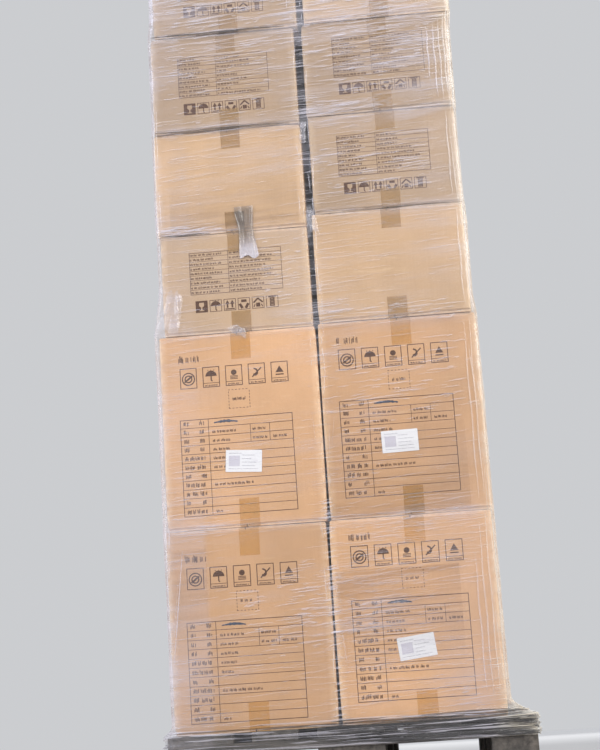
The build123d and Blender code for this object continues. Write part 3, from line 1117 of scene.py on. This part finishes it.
class Wrap:
    """The film's surface: a tall tube around the load, found by height and by place round it.

    Places run from 0 to 4: along the front, the right side, the back and the left side.
    """

    def __init__(self):
        self.top = max(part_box(f"carton_{TIERS}_{column}")[1].z for column in COLUMNS) + TOP_STANDOFF
        deck_x, deck_y = cad_box[1].x - DECK_INSET, cad_box[1].y - DECK_INSET
        self.front, self.back, self.seams = {}, {}, {}
        for side in SIDES:
            self.front[side] = self.profile([f"{side}_front"], lambda low, high: -low.y, deck_y)
            self.back[side] = self.profile([f"{side}_back"], lambda low, high: high.y, deck_y)
            self.seams[side] = [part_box(f"carton_{tier}_{side}_front")[1].z for tier in range(1, TIERS)]
        self.left = self.profile(["left_front", "left_back"], lambda low, high: -low.x, deck_x)
        self.right = self.profile(["right_front", "right_back"], lambda low, high: high.x, deck_x)

    def profile(self, columns, pick, deck):
        """Reach outwards of some columns at evenly spaced heights, with the film's straight bridges.

        The film lies on the outermost point that any box near it, or the pallet, forces it out to.
        """
        boxes = [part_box(f"carton_{tier}_{column}") for column in columns for tier in range(1, TIERS + 1)]
        reach = []
        for step in range(math.ceil((self.top - FILM_LOW) / PROFILE_STEP) + 1):
            z = FILM_LOW + PROFILE_STEP * step
            spots = [pick(low, high) - BRIDGE_SLOPE * max(low.z - z, z - high.z, 0.0) for low, high in boxes]
            reach.append(max(spots + [deck - PALLET_SLOPE * max(z - DECK_TOP, 0.0)]))
        return smooth_reach(reach)

    def reach(self, profile, z):
        """A profile's reach at one height."""
        step = clamp((z - FILM_LOW) / PROFILE_STEP, 0.0, len(profile) - 1.001)
        low = int(step)
        return between(profile[low], profile[low + 1], step - low) + FILM_STANDOFF

    def span(self, z):
        """How far the film reaches to the left and to the right at one height."""
        return self.reach(self.left, z), self.reach(self.right, z)

    def front_place(self, x, z):
        """The place along the front at an X and a Z."""
        left, right = self.span(z)
        return (x + left) / (left + right)

    def gap_place(self, z, side):
        """The place along the front or the back that lies over the gap between the columns."""
        middle = self.front_place(GAP_X, z)
        return side + (middle if side == 0 else 1 - middle)

    def point(self, z, place):
        """A point of the film and its direction outwards."""
        side, along = int(place) % 4, place % 1
        along = along if side < 2 else 1 - along
        left, right = self.span(z)
        if side in (0, 2):
            x = (right + left) * along - left
            ends = self.front if side == 0 else self.back
            mix = clamp((x - GAP_X) / GAP_BLEND + 0.5)
            end = self.reach(ends["left"], z) * (1 - mix) + self.reach(ends["right"], z) * mix
            y = -end if side == 0 else end
        else:
            column = "right" if side == 1 else "left"
            x = right if side == 1 else -left
            front, back = self.reach(self.front[column], z), self.reach(self.back[column], z)
            y = (front + back) * along - front
            end = front if y < 0 else back
        x_side, y_side = (1 if x > 0 else -1), (1 if y > 0 else -1)
        wall = right if x > 0 else left
        inset_x, inset_y, turn = round_corner(wall - abs(x), end - abs(y), FOLD_RADIUS + FILM_STANDOFF)
        angle = math.radians(turn)
        outward = Vector((x_side * math.cos(angle), y_side * math.sin(angle), 0))
        return Vector((x_side * (wall - inset_x), y_side * (end - inset_y), z)), outward

    def seam_share(self, z, place):
        """How close a point of the film is to a joint between two tiers, from 0 to 1."""
        seams = self.seams["left" if place % 4 < 0.5 or place % 4 > 2.5 else "right"]
        return max(SEAM_SHARE * near(abs(z - seam), SEAM_REACH) for seam in seams)

    def lifted(self, z, place, lift=0.0):
        """A point on the film with its folds, raised by a lift, and its direction outwards."""
        point, outward = self.point(z, place % 4)
        return point + outward * (film_lift(point, place % 4) + lift), outward

    def front_spot(self, x, z, lift):
        """The point of the front at an X and a Z, raised by a lift."""
        return self.lifted(z, clamp(self.front_place(x, z), 0.004, 0.996), lift)[0]


def ridge(value):
    """Turn smooth noise into sharp crests, from 0 to 1."""
    return (1 - min(abs(value) * 2.2, 1.0)) ** 2


def film_lift(point, place):
    """How far the film stands off at a point, from its folds, slack and gathered hem."""
    lap = point.x + point.y
    climb = point.z - 0.04 * lap
    fine = ridge(rough(lap * 3.5, 7.1, climb * 46))
    broad = ridge(rough(lap * 1.6, 2.3, climb * 14))
    patch = 0.5 + 0.5 * noise.noise(point * 4)
    lift = (0.0012 * fine + 0.0016 * broad) * patch
    if int(place) % 4 in (1, 3):
        lift += SIDE_SLACK * patch
    gathered = clamp((HEM_TOP + 0.006 - point.z) / 0.014)
    if gathered:
        roll = rough(lap * 2.4, 1.7, point.z * 95)
        crease = rough(lap * 7, 4.4, point.z * 260)
        lift += gathered * (0.0065 * ridge(roll) + 0.0022 * ridge(crease))
    return lift


def side_length(place):
    """Length of the side that a place lies on."""
    return SIDE_LENGTHS[int(place) % 4]


def corner_distance(place):
    """Distance along the wrap to the nearest corner of the load."""
    return side_length(place) * min(place % 1, 1 - place % 1)


def film_places():
    """Places round the load at which the film is sampled, closest on the front and at the corners."""
    places = []
    for side, (count, length) in enumerate(zip(SIDE_CUTS, SIDE_LENGTHS)):
        bend = FOLD_RADIUS / length
        spots = {bend * step / 4 for step in range(4)} | {1 - bend * step / 4 for step in range(1, 5)}
        spots |= {bend + (1 - 2 * bend) * i / count for i in range(count)}
        places += [side + spot for spot in sorted(spots)]
    return places


def film_heights(top):
    """Heights of the film's rows, close together in the gathered hem."""
    hem = [between(FILM_LOW, HEM_TOP, i / HEM_ROWS) for i in range(HEM_ROWS)]
    return hem + [between(HEM_TOP, top, i / FILM_ROWS) for i in range(FILM_ROWS + 1)]


def top_fold(wrap, edge):
    """Points of the film turned in over the top of the load, puckered towards its free edge."""
    half_x = max(spot.x for spot in edge) - FOLD_WIDTH * 1.3
    half_y = max(spot.y for spot in edge) - FOLD_WIDTH * 1.3
    points = []
    for ring in range(1, FOLD_RINGS + 1):
        share = ring / FOLD_RINGS
        for spot in edge:
            inner_x, inner_y = clamp(spot.x, -half_x, half_x), clamp(spot.y, -half_y, half_y)
            inward = Vector((inner_x - spot.x, inner_y - spot.y, 0)).normalized()
            ragged = 1 + 0.22 * rough(spot.x * 9, spot.y * 9, 3.3)
            pucker = 0.004 * share * abs(rough(spot.x * 22, spot.y * 22, share * 2.4))
            level = Vector((spot.x, spot.y, wrap.top + 0.0012 + pucker))
            points.append(level + inward * FOLD_WIDTH * share * ragged)
    return points


def add_film(wrap, film):
    """The wrap itself, with its folded-in upper edge."""
    places = film_places()
    heights = film_heights(wrap.top)
    vertices = [wrap.lifted(z, place)[0] for z in heights for place in places]
    vertices += top_fold(wrap, vertices[-len(places):])
    faces = grid_faces(len(heights) + FOLD_RINGS, len(places), closed=True)
    corners = [near(corner_distance(place), BEND_REACH) for place in places]
    milky = [max(share, wrap.seam_share(z, place)) for z in heights for place, share in zip(places, corners)]
    piece = film_piece("film_wrap", vertices, faces, film, milky + corners * FOLD_RINGS)
    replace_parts(piece, "stretch_film")


class Strands:
    """Narrow ridges in the film, gathered into one mesh, with the random draws that place them."""

    def __init__(self, wrap, name):
        self.wrap = wrap
        self.name = name
        self.rng = random.Random(STRAND_SEEDS[name])
        self.vertices = []
        self.faces = []

    def strip(self, path, width, lift):
        """One ridge along a path of heights and places, tapering to both ends."""
        spots = [self.wrap.lifted(z, place, lift) for z, place in path]
        first, last = len(self.vertices), len(spots) - 1
        for i, (spot, outward) in enumerate(spots):
            along = spots[min(i + 1, last)][0] - spots[max(i - 1, 0)][0]
            across = along.cross(outward).normalized()
            half = width / 2 * math.sin(math.pi * clamp(i / last, 0.03, 0.97)) ** 0.6
            self.vertices += [spot - across * half, spot + outward * half * 0.7, spot + across * half]
        self.faces += grid_faces(last + 1, 3, first)

    def level(self, z, place, length, climb):
        """A path round the load that climbs a little and wavers."""
        steps = max(3, int(length / 0.025))
        wave = self.rng.uniform(0, 10)
        path = []
        for i in range(steps + 1):
            share = i / steps
            run = length * share
            height = z + climb * run + 0.0008 * math.sin(wave + share * 9)
            path.append((height, place + run / side_length(place)))
        return path

    def upright(self, z, place, length, lean, steps=8):
        """A path up the load that leans a little."""
        return [(z + length * i / steps, place + lean * length * i / steps) for i in range(steps + 1)]

    def finish(self, film):
        """Make the piece."""
        film_piece(self.name, self.vertices, self.faces, film)


def strand_share(point, side):
    """How thickly the strands lie at a point of the wrap, from 0 to 1."""
    patch = 0.45 + 1.1 * noise.noise(point * 3.7)
    share = 0.12 + 0.28 * max(0.0, (point.z - 1.33) / 0.6)
    if side in (1, 3):
        share += 0.24
    else:
        share += 0.20 * math.exp(-(((point.x - GAP_X) / 0.05) ** 2))
    share += 0.2 * near(abs(abs(point.x) - 0.36), 0.05)
    if 1.26 < point.z < 1.56 and point.x > GAP_X:
        share += 0.14
    if point.z < 0.60 and point.x > GAP_X:
        share += 0.75 * near(point.x - GAP_X, 0.42)
    return share * clamp(patch, 0.12)


def add_strands(wrap, film, name, sides, count):
    """Strained strands of film: many short fine bright lines that climb as they go round."""
    strands = Strands(wrap, name)
    rng = strands.rng
    while count:
        place = rng.choice(sides) + rng.uniform(0.0, 0.96)
        z = rng.uniform(HEM_TOP, wrap.top - 0.02)
        point, _ = wrap.point(z, place)
        if rng.random() > strand_share(point, int(place)):
            continue
        path = strands.level(z, place, rng.choice(STRAND_LENGTHS), rng.gauss(0.05, 0.03))
        width = rng.uniform(0.0005, 0.0015) * (1 + 1.6 * max(0.0, (z - 1.35) / 0.6))
        strands.strip(path, width, 0.0004)
        count -= 1
    strands.finish(film)


def add_streaks(wrap, film):
    """Wider strands over the parts of the front where the turns of the wrap bunch up."""
    strands = Strands(wrap, "film_streaks")
    rng = strands.rng
    for low_x, high_x, low_z, high_z, count in STREAKED:
        for _ in range(count):
            x, z = rng.uniform(low_x, high_x), rng.triangular(low_z, high_z)
            length = rng.choice((0.015, 0.025, 0.04, 0.07))
            place = max(wrap.front_place(x, z) - length / SIDE_LENGTHS[0], 0.002)
            path = strands.level(z, place, length, rng.gauss(0.05, 0.03))
            strands.strip(path, rng.uniform(0.0010, 0.0036), 0.0005)
    strands.finish(film)


def add_gap_threads(wrap, film):
    """Strands pulled across the gap between the columns, and upright puckers along its edges."""
    strands = Strands(wrap, "film_gap_threads")
    rng = strands.rng
    for _ in range(GAP_THREADS):
        side = rng.choice((0, 0, 2))
        length = rng.uniform(0.015, 0.07)
        z = rng.uniform(HEM_TOP, wrap.top - 0.02)
        place = wrap.gap_place(z, side) - length * rng.uniform(0.3, 0.7) / SIDE_LENGTHS[side]
        path = strands.level(z, place, length, rng.gauss(0.07, 0.06))
        strands.strip(path, rng.uniform(0.0004, 0.0014), 0.0006)
    for _ in range(GAP_PUCKERS):
        side = rng.choice((0, 0, 2))
        length = rng.choice((0.02, 0.03, 0.05, 0.08))
        z = rng.uniform(*rng.choice(PUCKERED))
        inset = rng.choice((-1, 1, 1)) * rng.uniform(0.008, 0.020) / SIDE_LENGTHS[side]
        lean = rng.gauss(0.0, 0.08) / SIDE_LENGTHS[side]
        path = strands.upright(z, wrap.gap_place(z, side) + inset, length, lean)
        strands.strip(path, rng.uniform(0.0006, 0.0020), 0.0005)
    strands.finish(film)


def add_seam_gathers(wrap, film):
    """Bunched strands of film that settle into the joints between the tiers."""
    strands = Strands(wrap, "film_seam_gathers")
    rng = strands.rng
    for column, low, high in (("left", 0.0, 0.46), ("right", 0.48, 1.0)):
        for z in wrap.seams[column]:
            for _ in range(JOINT_GATHERS):
                side = rng.choice((0, 2))
                length = rng.choice((0.015, 0.03, 0.05, 0.08, 0.12))
                along = rng.uniform(low, high)
                place = side + (along if side == 0 else 1 - along) - length / SIDE_LENGTHS[side]
                height = z + rng.gauss(0.0, 0.006)
                path = strands.level(height, place, length, rng.gauss(0.0, 0.03))
                strands.strip(path, rng.uniform(0.0006, 0.0022), 0.0005)
    strands.finish(film)


def add_hem_ropes(wrap, film, name, bunches, turning=True):
    """Gathered turns of film round the edge of the pallet deck, which may turn its corners; in dark film,
    strips of painted shade and dark reflection in its creases.
    """
    strands = Strands(wrap, name)
    rng = strands.rng
    for first, last, count, widest in bunches:
        for _ in range(count):
            z = rng.uniform(FILM_LOW + 0.002, HEM_TOP)
            length = rng.choice((0.06, 0.12, 0.2, 0.35))
            place = rng.uniform(first, last)
            if not turning:
                length = min(length, corner_distance(place))
            path = strands.level(z, place, length, rng.gauss(0.0, 0.02))
            strands.strip(path, rng.uniform(0.0008, widest), rng.uniform(0.0005, 0.002))
    strands.finish(film)


def add_gap_bridges(wrap, film):
    """Gathered turns of film that cross the gap between the tall cartons in short dashes."""
    strands = Strands(wrap, "film_gap_bridges")
    rng = strands.rng
    for side, count in GAP_DASHES:
        for _ in range(count):
            length = rng.uniform(0.014, 0.036)
            z = rng.uniform(HEM_TOP, DASH_TOP)
            place = wrap.gap_place(z, side) - length * rng.uniform(0.4, 0.6) / SIDE_LENGTHS[side]
            path = strands.level(z, place, length, rng.gauss(0.14, 0.08))
            strands.strip(path, rng.uniform(0.0014, 0.0046), 0.0006)
    strands.finish(film)


def add_joint_painted_shadows(wrap, film):
    """Dark strips of film laid in the open joints between tiers as painted shadow."""
    strands = Strands(wrap, "film_joint_painted_shadows")
    for column, tier, low_x, high_x, width in JOINT_PAINTED_SHADOWS:
        z = wrap.seams[column][tier - 1]
        strands.strip(strands.level(z, wrap.front_place(low_x, z), high_x - low_x, 0.0), width, 0.0004)
    strands.finish(film)


def add_corner_folds(wrap, film):
    """Upright creases where the film turns round the four corners of the load, and the long pleats."""
    strands = Strands(wrap, "film_corner_folds")
    rng = strands.rng
    for corner in range(4):
        for _ in range(CORNER_CREASES):
            z = rng.uniform(HEM_TOP, wrap.top - 0.05)
            length = min(rng.choice((0.03, 0.05, 0.09, 0.16, 0.25)), wrap.top - z)
            place = corner + rng.gauss(0.0, 0.008) / SIDE_LENGTHS[0]
            path = strands.upright(z, place, length, rng.gauss(0.0, 0.05) / SIDE_LENGTHS[0])
            strands.strip(path, rng.uniform(0.0008, 0.0032), 0.0004)
    steps = 24
    for inset, low, high in PLEATS:
        path = []
        for i in range(steps + 1):
            waver = 0.0012 * math.sin(0.6 * i + 40 * inset)
            path.append((between(low, high, i / steps), 1 - inset / SIDE_LENGTHS[0] + waver))
        strands.strip(path, 0.0034, 0.0010)
    strands.finish(film)


def add_film_tail(wrap, film):
    """The loose end of the film: a short pleated tongue on the left column, white at its torn end."""
    columns, rows = 24, 44
    vertices, pale = [], []
    for u, v in grid_shares(columns, rows):
        pinch = 1 - 0.20 * math.sin(math.pi * v) ** 2
        torn = 0.018 * max(0.0, v - 0.7) / 0.3 * rough(u * 2.3, 2.2, 9)
        x = TAIL_LEFT + TAIL_WIDTH * (0.5 + (u - 0.5) * pinch) + 0.008 * v
        pleat = 0.0032 * abs(rough(u * 5 + 0.6 * v, v * 1.6, 4))
        crease = 0.006 * max(0.0, v - 0.5) * abs(rough(u * 6, v * 14, 8))
        vertices.append(wrap.front_spot(x, TAIL_TOP - TAIL_LENGTH * v + torn, 0.0012 + pleat + crease))
        pale.append(0.75 * clamp((v - 0.55) / 0.3))
    film_piece("film_tail", vertices, grid_faces(rows + 1, columns + 1), film, pale)


def add_crumples(wrap, film):
    """Small pleated bunches where turns of the wrap overlap and fold back."""
    columns, rows = 16, 20
    vertices, faces, pale = [], [], []
    for number, (x, z, width, height, lean) in enumerate(CRUMPLES):
        faces += grid_faces(rows + 1, columns + 1, len(vertices))
        angle = math.radians(lean)
        for across_share, up_share in grid_shares(columns, rows):
            u, v = across_share - 0.5, up_share - 0.5
            ragged = 1 + 0.35 * rough(u * 3 + number, v * 3, 3)
            across = width * u * ragged * (1 - 0.55 * up_share ** 2)
            upwards = height * v * ragged
            spot_x = x + across * math.cos(angle) - upwards * math.sin(angle)
            spot_z = z + across * math.sin(angle) + upwards * math.cos(angle)
            edge = max(0.0, 1 - 4 * max(u * u, v * v))
            pleat = abs(rough(u * 5 + v, v * 1.6, number + 0.5))
            vertices.append(wrap.front_spot(spot_x, spot_z, 0.0008 + 0.006 * edge ** 0.5 * pleat))
            pale.append(min(edge, 0.6) * (0.9 + 2.4 * pleat))
    film_piece("film_crumples", vertices, faces, film, pale)


def add_laps(wrap, film):
    """Patches of the front where a second layer of film ends in a straight edge."""
    cuts = 24
    vertices, faces, shade = [], [], []
    for low_x, high_x, low_z, high_z, foot, top in LAPS:
        faces += grid_faces(cuts + 1, cuts + 1, len(vertices))
        for u, v in grid_shares(cuts, cuts):
            vertices.append(wrap.front_spot(between(low_x, high_x, u), between(low_z, high_z, v), 0.0004))
            shade.append(between(foot, top, v))
    film_piece("film_laps", vertices, faces, film, shade)


def add_all_film():
    """The wrap and everything that lies on it."""
    wrap = Wrap()
    add_film(wrap, film_material("film_clear"))
    # The crease film is dark: painted shadow in the joints, painted shade and dark reflection in the hem
    strand, rope, crease = (film_material(f"film_{kind}") for kind in ("strand", "rope", "crease"))
    add_strands(wrap, strand, "film_strands_front", (0,), FRONT_STRANDS)
    add_strands(wrap, strand, "film_strands_round", (1, 2, 3), ROUND_STRANDS)
    add_streaks(wrap, strand)
    add_gap_threads(wrap, strand)
    add_seam_gathers(wrap, strand)
    add_hem_ropes(wrap, rope, "film_hem_ropes", HEM_ROPES)
    add_hem_ropes(wrap, crease, "film_hem_painted_shades", HEM_PAINTED_SHADES, turning=False)
    add_gap_bridges(wrap, rope)
    add_joint_painted_shadows(wrap, crease)
    add_corner_folds(wrap, film_material("film_fold"))
    add_film_tail(wrap, film_material("film_tail"))
    add_crumples(wrap, film_material("film_crumpled"))
    add_laps(wrap, lap_material())


# Pallet fixings


def add_disc(vertices, faces, centre, radius, height, sides=10):
    """A low round head standing on a level face."""
    first = len(vertices)
    for lift, reach in ((0.0, radius), (height, radius * 0.92)):
        for i in range(sides):
            a = math.tau * i / sides
            vertices.append(centre + Vector((reach * math.cos(a), reach * math.sin(a), lift)))
    faces += grid_faces(2, sides, first, closed=True)
    faces.append([first + sides + i for i in range(sides)])


def add_nails(steel):
    """Nail heads where each deck board crosses a cross board."""
    vertices, faces = [], []
    for number in range(1, 6):
        low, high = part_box(f"deck_board_{number}")
        for row in ("front", "middle", "back"):
            row_low, row_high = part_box(f"cross_board_{row}")
            for x in (low.x + NAIL_INSET, high.x - NAIL_INSET):
                for y in (row_low.y + NAIL_END_INSET, row_high.y - NAIL_END_INSET):
                    add_disc(vertices, faces, Vector((x, y, high.z)), NAIL_RADIUS, NAIL_HEIGHT)
    new_piece("nail_heads", vertices, faces, steel)


# Finish of the fixed parts


def dress(node_name, material):
    """Give a fixed part its material."""
    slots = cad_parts[node_name].data.materials
    slots.clear()
    slots.append(material)


def dress_all():
    """Tape, paper and timber on the parts that keep their own shape."""
    tapes = [tape_material(*tape) for tape in TAPES]
    paper = paper_material()
    lengthwise = timber_material("timber_lengthwise", (60, 3, 60))
    crosswise = timber_material("timber_crosswise", (3, 60, 60))
    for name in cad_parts:
        if name.startswith("seam_tape"):
            dress(name, tapes[min(int(name[-1]), len(tapes)) - 1])
        elif name.startswith("label"):
            dress(name, paper)
        elif name.startswith("cross_board"):
            dress(name, crosswise)
        elif not name.startswith(("carton", "stretch_film")):
            dress(name, lengthwise)


def cut_across(work, face, direction, size, near_cuts, pitch):
    """Cut a carton across one direction: evenly, and closer beside its folds."""
    count = int(size / pitch)
    spots = {step * size / count for step in range(1, count)}
    spots |= set(near_cuts) | {size - cut for cut in near_cuts}
    for spot in sorted(spots):
        everything = work.verts[:] + work.edges[:] + work.faces[:]
        place = face.corner + direction * spot
        bmesh.ops.bisect_plane(work, geom=everything, dist=1e-6, plane_co=place, plane_no=direction)


def add_worn_carton(name):
    """One carton, cut into small faces that then follow its dents, in place of its plain solid."""
    face = Face(name)
    board_name = name.replace("carton", "board")
    work = bmesh.new()
    work.from_mesh(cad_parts[name].data)
    bmesh.ops.dissolve_limit(work, angle_limit=math.radians(0.5), verts=work.verts[:], edges=work.edges[:])
    cut_across(work, face, face.right, face.width, FOLD_CUTS, WIDTH_PITCH)
    cut_across(work, face, -face.normal, face.depth, FOLD_CUTS, DEPTH_PITCH)
    cut_across(work, face, face.up, face.height, FLAP_CUTS, HEIGHT_PITCH)
    fold = work.verts.layers.float.new("fold")
    for vertex in work.verts:
        x, y, z = face.local(vertex.co)
        insets = sorted((min(x, face.width - x), min(y, face.depth - y), min(z, face.height - z)))
        vertex[fold] = near(insets[1], WEAR_AND_HIGHLIGHT_REACH)
        vertex.co = face.place(*face.worn(x, y, z))
    mesh = bpy.data.meshes.new(board_name)
    work.to_mesh(mesh)
    work.free()
    mesh.materials.clear()
    # The carton's tone, which on the front cartons holds painted light and shade as well as its own tone
    tone = CARTON_TONES_AND_PAINTED_LIGHT.get(name, BACK_TONE)
    mesh.materials.append(board_material(board_name, BOARD_COLOURS[carton_kind(name)], tone))
    mesh.shade_smooth()
    mesh.set_sharp_from_angle(angle=math.radians(50))
    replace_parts(add_piece(mesh), name)


# Stage


def look_rotation():
    """The camera's rotation from its yaw, pitch and roll."""
    yaw, pitch, roll = (math.radians(a) for a in (CAMERA_YAW, CAMERA_PITCH, CAMERA_ROLL))
    forward = Vector((math.sin(yaw) * math.cos(pitch), math.cos(yaw) * math.cos(pitch), math.sin(pitch)))
    level = Vector((math.cos(yaw), -math.sin(yaw), 0))
    upright = level.cross(forward)
    right = level * math.cos(roll) + upright * math.sin(roll)
    up = upright * math.cos(roll) - level * math.sin(roll)
    return Matrix((right, up, -forward)).transposed()


def add_camera():
    """The photograph's viewpoint."""
    data = bpy.data.cameras.new("camera")
    data.sensor_fit = "HORIZONTAL"
    data.sensor_width = SENSOR_WIDTH
    data.lens = CAMERA_LENS
    data.clip_end = 100
    camera = bpy.data.objects.new("camera", data)
    camera.matrix_world = Matrix.Translation(CAMERA_PLACE) @ look_rotation().to_4x4()
    bpy.context.scene.collection.objects.link(camera)
    bpy.context.scene.camera = camera


def add_lamp(name, place, aim, size, power, tint):
    """A square soft lamp aimed at a point."""
    data = bpy.data.lights.new(name, "AREA")
    data.shape = "SQUARE"
    data.size = size
    data.energy = power
    data.color = tint
    lamp = bpy.data.objects.new(name, data)
    lamp.location = place
    lamp.rotation_mode = "QUATERNION"
    lamp.rotation_quaternion = (Vector(aim) - Vector(place)).to_track_quat("-Z", "Y")
    bpy.context.scene.collection.objects.link(lamp)


def add_floor():
    """A plain pale floor."""
    corners = [(x * FLOOR_REACH, y * FLOOR_REACH, 0) for x, y in ((-1, -1), (1, -1), (1, 1), (-1, 1))]
    mesh = bpy.data.meshes.new("floor")
    mesh.from_pydata(corners, [], [(0, 1, 2, 3)])
    floor = bpy.data.objects.new("floor", mesh)
    bpy.context.scene.collection.objects.link(floor)
    material, tree = new_material("floor_pale")
    shade = blend_colour(tree, grain_value(tree, (3, 3, 3)), *FLOOR_SHADES)
    distance = tree.nodes.new("ShaderNodeVectorMath")
    distance.operation = "LENGTH"
    put(tree, distance.inputs[0], object_point(tree))
    far = ramp_value(tree, distance.outputs["Value"], *FLOOR_CHANGE)
    shade = blend_colour(tree, far, shade, FLOOR_FAR_SHADE)
    mesh.materials.append(finish(material, principled(tree, Base_Color=shade, Roughness=0.9)))


def add_world():
    """A pale world, with a light of its own and an even shade where it is seen."""
    world = bpy.data.worlds.new("studio")
    world.use_nodes = True
    bpy.context.scene.world = world
    tree = world.node_tree
    tree.nodes.clear()
    glow = node(tree, "ShaderNodeBackground", Color=WORLD_GLOW, Strength=GLOW_STRENGTH)
    seen = node(tree, "ShaderNodeBackground", Color=WORLD_SHADE, Strength=1.0)
    path = tree.nodes.new("ShaderNodeLightPath")
    shown = math_value(tree, "MAXIMUM", path.outputs["Is Camera Ray"], path.outputs["Is Glossy Ray"])
    shown = math_value(tree, "MAXIMUM", shown, path.outputs["Is Transmission Ray"])
    node(tree, "ShaderNodeOutputWorld", Surface=mixed_shader(tree, shown, glow, seen).outputs[0])


add_camera()
add_floor()
add_world()
for lamp in LAMPS:
    add_lamp(*lamp)
bpy.context.scene.view_settings.view_transform = "Standard"
dress_all()
for carton_name in carton_names():
    add_worn_carton(carton_name)
add_prints(ink_material("print_ink", PRINT_INK))
add_pen_strokes(ink_material("pen_ink", PEN_INK))
add_label_prints(ink_material("label_ink", LABEL_INK), ink_material("label_ink_pale", LABEL_PALE_INK))
add_all_film()
add_nails(nail_material())
